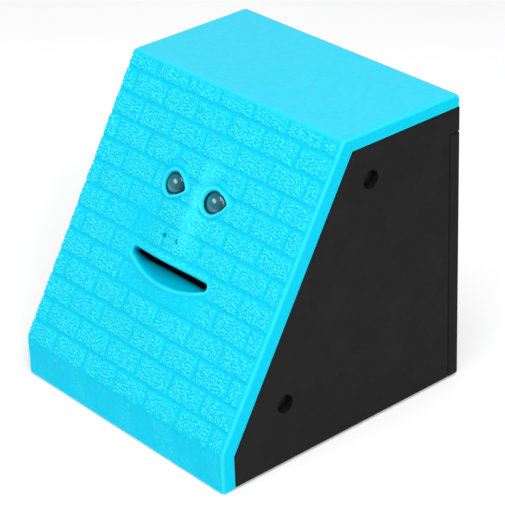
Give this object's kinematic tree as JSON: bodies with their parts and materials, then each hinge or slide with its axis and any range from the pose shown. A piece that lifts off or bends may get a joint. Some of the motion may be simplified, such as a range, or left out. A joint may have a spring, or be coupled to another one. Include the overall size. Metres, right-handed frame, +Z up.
{
  "type": "coin-eating money box",
  "caption": "Wedge-shaped money box with a cyan rubber face on its slope: a geared motor chews coins through a slit mouth, and a rear door lets them out.",
  "frame": {"origin": "middle of the footprint, on the surface the box stands on", "axes": "+Z up, -Y the way the face looks, +X to the right seen from the front"},
  "size_m": [0.1, 0.101, 0.1015],
  "materials": {
    "cyan_rubber": "satin cyan rubber with a moulded brick relief on the front",
    "black_plastic": "satin moulded black plastic",
    "grey_plastic": "matte dark grey moulded plastic",
    "white_plastic": "natural white acetal",
    "eye_gloss": "high-gloss dark teal bead",
    "steel": "zinc-plated steel",
    "brass": "machined brass",
    "contact_metal": "nickel-plated spring steel",
    "board_green": "green solder mask",
    "dark_plastic": "black moulded component plastic",
    "clear_lens": "clear epoxy lens",
    "capacitor_blue": "blue shrink sleeve",
    "red_plastic": "red moulded plastic",
    "cell_label": "plain green cell jacket",
    "foot_rubber": "soft black rubber",
    "red_wire": "red vinyl insulation",
    "black_wire": "black vinyl insulation"
  },
  "bodies": {
    "root": {"face_skin": "cyan_rubber", "housing": "black_plastic", "rear_cover": "black_plastic", "battery_cover": "black_plastic", "front_plate": "grey_plastic", "coin_chute": "grey_plastic", "battery_tray": "grey_plastic", "gearbox_inner_plate": "grey_plastic", "gearbox_outer_plate": "grey_plastic", "eye_left": "eye_gloss", "eye_right": "eye_gloss", "motor": "steel", "first_gear_axle": "steel", "second_gear_axle": "steel", "jaw_axle": "steel", "battery_cover_screw": "steel", "circuit_board": "board_green", "controller_chip": "dark_plastic", "capacitor": "capacitor_blue", "ir_emitter": "clear_lens", "ir_receiver": "dark_plastic", "battery_front": "cell_label", "battery_rear": "cell_label", "battery_bridge": "contact_metal", "battery_spring_contact": "contact_metal", "battery_plate_contact": "contact_metal", "switch_body": "dark_plastic", "motor_wire_red": "red_wire", "battery_wire_red": "red_wire", "switch_wire_red": "red_wire", "motor_wire_black": "black_wire", "battery_wire_black": "black_wire", "switch_wire_black": "black_wire", "side_screw_1": "steel", "rear_screw_1": "steel", "foot_1": "foot_rubber", "side_screw_2": "steel", "rear_screw_2": "steel", "foot_2": "foot_rubber", "side_screw_3": "steel", "rear_screw_3": "steel", "foot_3": "foot_rubber", "side_screw_4": "steel", "rear_screw_4": "steel", "foot_4": "foot_rubber", "gearbox_screw_1": "steel", "gearbox_screw_2": "steel", "gearbox_screw_3": "steel"},
    "jaw": {"jaw": "white_plastic", "lower_lip": "cyan_rubber"},
    "crank": {"output_gear": "white_plastic", "output_shaft": "steel", "crank_disc": "white_plastic"},
    "second_gear": {"second_gear": "white_plastic"},
    "first_gear": {"first_gear": "white_plastic"},
    "pinion": {"motor_shaft": "steel", "motor_pinion": "brass"},
    "coin_door": {"coin_door": "black_plastic"},
    "switch_knob": {"switch_knob": "red_plastic"}
  },
  "joints": [
    {"name": "crank_turn", "type": "hinge", "parent": "root", "child": "crank", "pos_m": [0, -0.002, 0.05], "axis": [1, 0, 0], "range_deg": [0, 180]},
    {"name": "second_gear_spin", "type": "hinge", "parent": "root", "child": "second_gear", "pos_m": [0, 0.0088, 0.06287], "axis": [1, 0, 0], "range_deg": [-540, 0]},
    {"name": "first_gear_spin", "type": "hinge", "parent": "root", "child": "first_gear", "pos_m": [0, 0.02256, 0.07251], "axis": [1, 0, 0], "range_deg": [0, 1620]},
    {"name": "pinion_spin", "type": "hinge", "parent": "root", "child": "pinion", "pos_m": [0, 0.03525, 0.06259], "axis": [1, 0, 0], "range_deg": [-5832, 0]},
    {"name": "jaw_chew", "type": "hinge", "parent": "root", "child": "jaw", "pos_m": [0, -0.012, 0.034], "axis": [1, 0, 0], "range_deg": [0, 12]},
    {"name": "door_hinge", "type": "hinge", "parent": "root", "child": "coin_door", "pos_m": [0, 0.0484, 0.0154], "axis": [-1, 0, 0], "range_deg": [0, 90]},
    {"name": "switch_slide", "type": "slide", "parent": "root", "child": "switch_knob", "axis": [1, 0, 0], "range_m": [0, 0.004]}
  ],
  "couplings": [
    {"joint": "second_gear_spin", "follows": "crank_turn", "ratio": -3},
    {"joint": "first_gear_spin", "follows": "crank_turn", "ratio": 9},
    {"joint": "pinion_spin", "follows": "crank_turn", "ratio": -32.4},
    {"joint": "jaw_chew", "follows": "crank_turn", "ratio": 0.066667}
  ]
}
